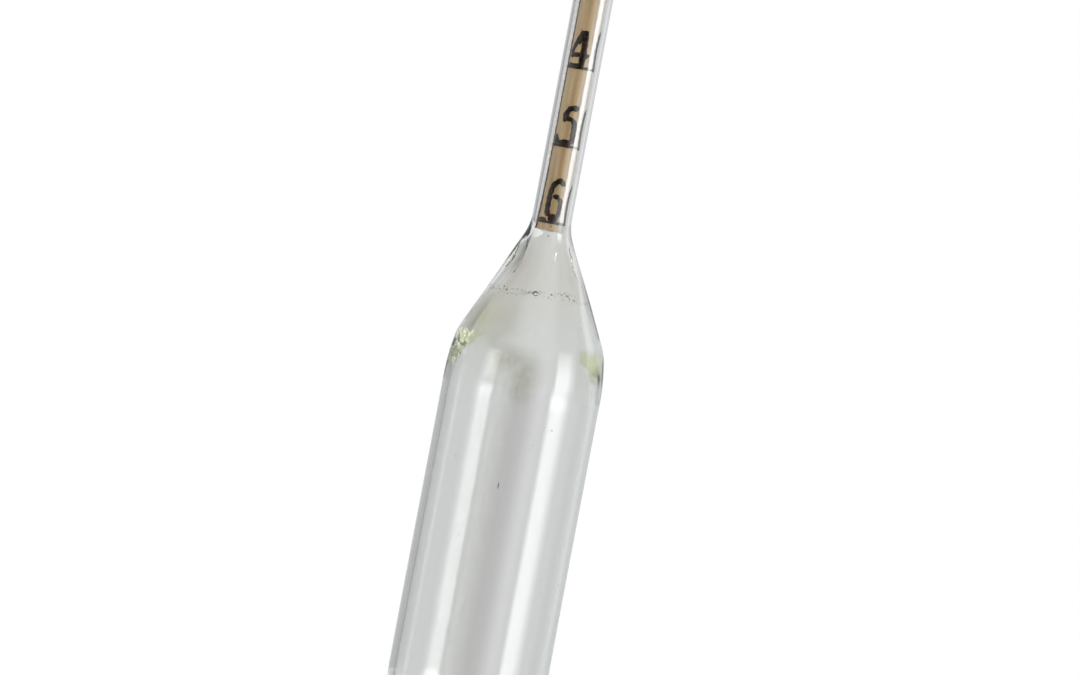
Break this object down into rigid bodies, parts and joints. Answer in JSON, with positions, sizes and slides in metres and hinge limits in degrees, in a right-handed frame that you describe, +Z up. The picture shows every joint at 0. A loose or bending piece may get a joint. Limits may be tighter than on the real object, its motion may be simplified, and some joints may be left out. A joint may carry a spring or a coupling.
{
  "type": "hydrometer",
  "caption": "Glass hydrometer: sealed float with a flared shoulder, a thin stem holding a rolled paper scale, and a ballast bulb of lead shot.",
  "frame": {"origin": "on the stem's axis where the surface of plain water crosses it, at the 0 line of the scale", "axes": "+Z up along the stem; -Y faces the reader of the scale; +X to the reader's right"},
  "size_m": [0.02, 0.02, 0.167],
  "materials": {
    "glass": "polished",
    "paper": "matte",
    "lead": "satin",
    "sealing_wax": "satin"
  },
  "bodies": {
    "root": {"stem_tube": "glass", "float_body": "glass", "ballast_bulb": "glass", "scale_strip": "paper", "scale_wax_dab": "sealing_wax", "shot_wax_seal": "sealing_wax", "shot_01": "lead", "shot_02": "lead", "shot_03": "lead", "shot_04": "lead", "shot_05": "lead", "shot_06": "lead", "shot_07": "lead", "shot_08": "lead", "shot_09": "lead", "shot_10": "lead", "shot_11": "lead", "shot_12": "lead", "shot_13": "lead", "shot_14": "lead", "shot_15": "lead", "shot_16": "lead", "shot_17": "lead", "shot_18": "lead", "shot_19": "lead", "shot_20": "lead", "shot_21": "lead", "shot_22": "lead", "shot_23": "lead", "shot_24": "lead", "shot_25": "lead", "shot_26": "lead", "shot_27": "lead", "shot_28": "lead", "shot_29": "lead", "shot_30": "lead", "shot_31": "lead", "shot_32": "lead"}
  },
  "joints": []
}
